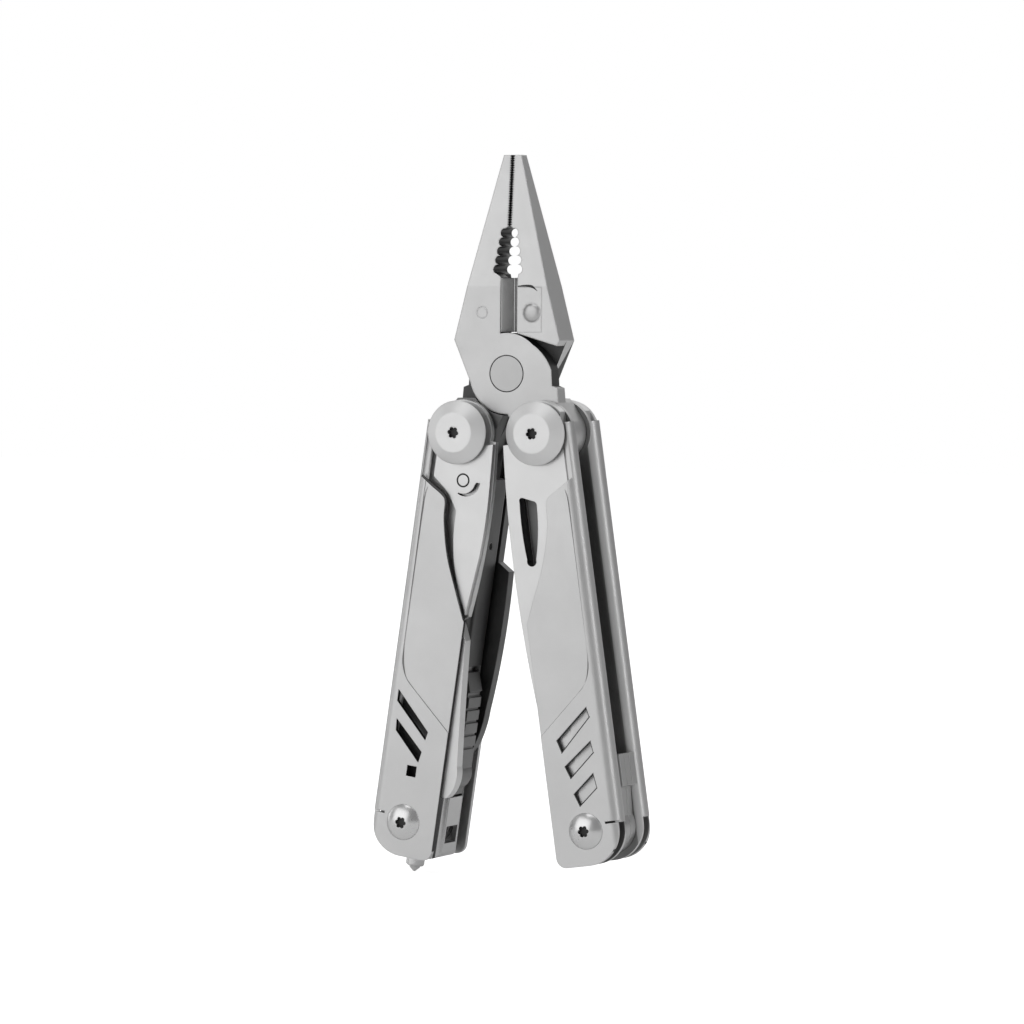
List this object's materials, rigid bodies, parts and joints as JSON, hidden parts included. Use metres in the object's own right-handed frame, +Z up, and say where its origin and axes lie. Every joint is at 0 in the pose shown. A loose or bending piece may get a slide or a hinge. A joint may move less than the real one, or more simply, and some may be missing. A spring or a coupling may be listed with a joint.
{
  "type": "multi tool",
  "caption": "Folding steel multi tool with needle-nose pliers, channel handles, outboard knife, scissors, saw and file, inner drivers and openers.",
  "frame": {"origin": "under the middle of the open tool, level with its lowest point (bottom centre of its bounding box)", "axes": "+Z up along the tool towards the jaw tips, front face towards -Y, +X to the right across both handles"},
  "size_m": [0.0624, 0.024, 0.1657],
  "materials": {
    "jaw_steel": "satin, fine blasted",
    "handle_steel": "satin, fine brushed",
    "polished_steel": "polished",
    "blade_steel": "fine satin",
    "cutter_steel": "dark ground",
    "lever_steel": "satin",
    "inner_steel": "satin"
  },
  "bodies": {
    "fixed_jaw": {"left_jaw": "jaw_steel", "hub_rivet": "jaw_steel", "left_cutter_insert": "cutter_steel", "left_insert_screw": "jaw_steel"},
    "moving_jaw": {"right_jaw": "jaw_steel", "right_cutter_insert": "cutter_steel", "right_insert_screw": "jaw_steel"},
    "left_handle": {"left_handle_frame": "handle_steel", "left_pivot_axle": "inner_steel", "left_end_axle": "inner_steel", "left_front_pivot_disc": "polished_steel", "left_rear_pivot_disc": "polished_steel", "left_front_end_screw": "polished_steel", "left_rear_end_screw": "polished_steel", "left_end_spacers": "inner_steel", "left_lock_pin": "inner_steel", "left_lock_spring": "inner_steel", "glass_breaker": "polished_steel"},
    "left_lever": {"left_lock_lever": "lever_steel"},
    "right_handle": {"right_handle_frame": "handle_steel", "right_pivot_axle": "inner_steel", "right_end_axle": "inner_steel", "right_front_pivot_disc": "polished_steel", "right_rear_pivot_disc": "polished_steel", "right_front_end_screw": "polished_steel", "right_rear_end_screw": "polished_steel", "right_end_spacers": "inner_steel", "right_lock_pin": "inner_steel", "right_lock_spring": "inner_steel"},
    "right_lever": {"right_lock_lever": "lever_steel"},
    "knife": {"knife": "blade_steel"},
    "file": {"file_blade": "blade_steel"},
    "saw": {"saw": "blade_steel"},
    "scissors": {"scissors_fixed_blade": "blade_steel", "scissors_lever": "blade_steel", "scissors_rivet": "blade_steel"},
    "scissors_blade": {"scissors_moving_blade": "blade_steel"},
    "large_flat_driver": {"large_flat_driver": "inner_steel"},
    "bottle_opener": {"bottle_opener": "inner_steel"},
    "awl": {"awl": "inner_steel"},
    "can_opener": {"can_opener": "inner_steel"},
    "cross_head_driver": {"cross_head_driver": "inner_steel"}
  },
  "joints": [
    {"name": "jaw_open", "type": "hinge", "parent": "fixed_jaw", "child": "moving_jaw", "pos_m": [0, 0, 0.11572], "axis": [0, -1, 0], "range_deg": [-26, 0]},
    {"name": "left_handle_fold", "type": "hinge", "parent": "moving_jaw", "child": "left_handle", "pos_m": [-0.0098, 0, 0.10222], "axis": [0, 1, 0], "range_deg": [0, 171.7]},
    {"name": "right_handle_fold", "type": "hinge", "parent": "fixed_jaw", "child": "right_handle", "pos_m": [0.0098, 0, 0.10222], "axis": [0, -1, 0], "range_deg": [0, 171.7]},
    {"name": "knife_open", "type": "hinge", "parent": "right_handle", "child": "knife", "pos_m": [0.0098, 0, 0.10222], "axis": [0, 1, 0], "range_deg": [0, 10]},
    {"name": "file_open", "type": "hinge", "parent": "right_handle", "child": "file", "pos_m": [0.0098, 0, 0.10222], "axis": [0, 1, 0], "range_deg": [0, 10]},
    {"name": "saw_open", "type": "hinge", "parent": "left_handle", "child": "saw", "pos_m": [-0.0098, 0, 0.10222], "axis": [0, -1, 0], "range_deg": [0, 10]},
    {"name": "scissors_open", "type": "hinge", "parent": "left_handle", "child": "scissors", "pos_m": [-0.0098, 0, 0.10222], "axis": [0, -1, 0], "range_deg": [0, 10]},
    {"name": "scissors_blade_squeeze", "type": "hinge", "parent": "scissors", "child": "scissors_blade", "pos_m": [-0.00877, 0, 0.09126], "axis": [0, 1, 0], "range_deg": [0, 5], "stiffness_Nm_per_rad": 0.05},
    {"name": "left_lever_press", "type": "hinge", "parent": "left_handle", "child": "left_lever", "pos_m": [-0.01229, 0, 0.03285], "axis": [0, 1, 0], "range_deg": [0, 2.5], "stiffness_Nm_per_rad": 0.1},
    {"name": "right_lever_press", "type": "hinge", "parent": "right_handle", "child": "right_lever", "pos_m": [0.01229, 0, 0.03285], "axis": [0, -1, 0], "range_deg": [0, 2.5], "stiffness_Nm_per_rad": 0.1},
    {"name": "large_flat_driver_open", "type": "hinge", "parent": "right_handle", "child": "large_flat_driver", "pos_m": [0.02292, 0, 0.01232], "axis": [0, -1, 0], "range_deg": [-180, 0]},
    {"name": "bottle_opener_open", "type": "hinge", "parent": "right_handle", "child": "bottle_opener", "pos_m": [0.02292, 0, 0.01232], "axis": [0, -1, 0], "range_deg": [-180, 0]},
    {"name": "awl_open", "type": "hinge", "parent": "right_handle", "child": "awl", "pos_m": [0.02292, 0, 0.01232], "axis": [0, -1, 0], "range_deg": [-180, 0]},
    {"name": "can_opener_open", "type": "hinge", "parent": "left_handle", "child": "can_opener", "pos_m": [-0.02292, 0, 0.01232], "axis": [0, 1, 0], "range_deg": [-180, 0]},
    {"name": "cross_head_driver_open", "type": "hinge", "parent": "left_handle", "child": "cross_head_driver", "pos_m": [-0.02292, 0, 0.01232], "axis": [0, 1, 0], "range_deg": [-180, 0]}
  ]
}
